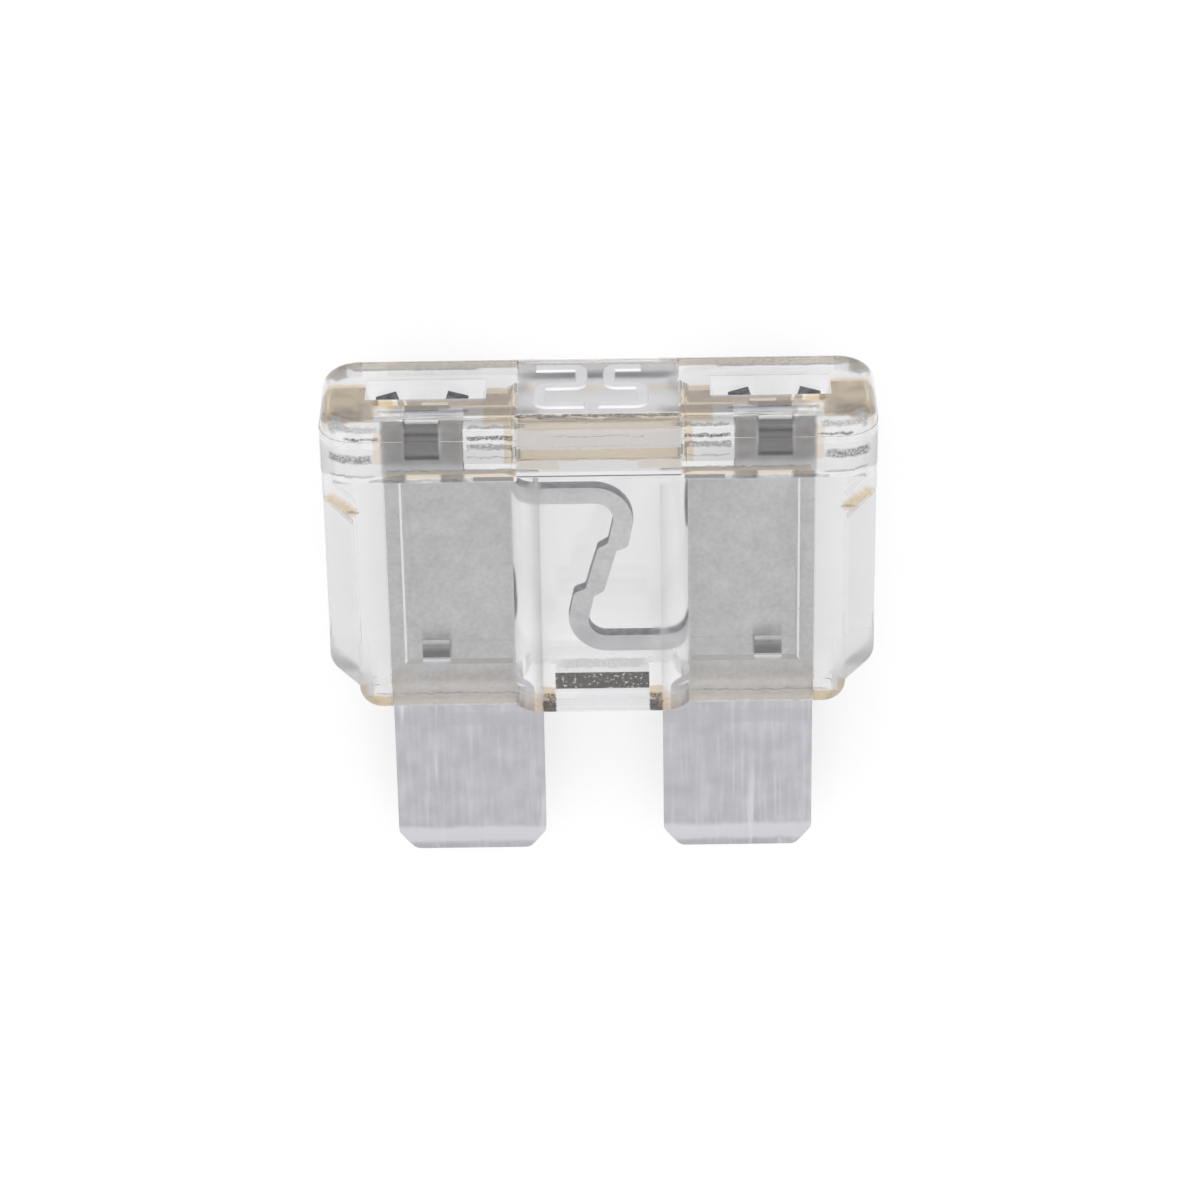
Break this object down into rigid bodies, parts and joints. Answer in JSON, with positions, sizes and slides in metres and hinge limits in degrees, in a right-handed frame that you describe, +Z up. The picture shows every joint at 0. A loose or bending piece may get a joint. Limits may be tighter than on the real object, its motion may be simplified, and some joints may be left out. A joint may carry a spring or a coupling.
{
  "type": "automotive blade fuse",
  "caption": "Clear plug-in blade fuse: a moulded housing with test windows and a link chamber over a flat zinc element with an S-shaped link.",
  "frame": {"origin": "centre of the bounding box, on the surface that the fuse lies on", "axes": "+X across the two blades, +Y from the blade tips to the head, +Z up out of the front face"},
  "size_m": [0.019, 0.0186, 0.0051],
  "materials": {
    "clear_housing": "clear moulded polycarbonate with a faint warm tint",
    "zinc": "dull zinc strip with fine streaks along the blades"
  },
  "bodies": {
    "root": {"housing": "clear_housing", "fuse_element": "zinc"}
  },
  "joints": []
}
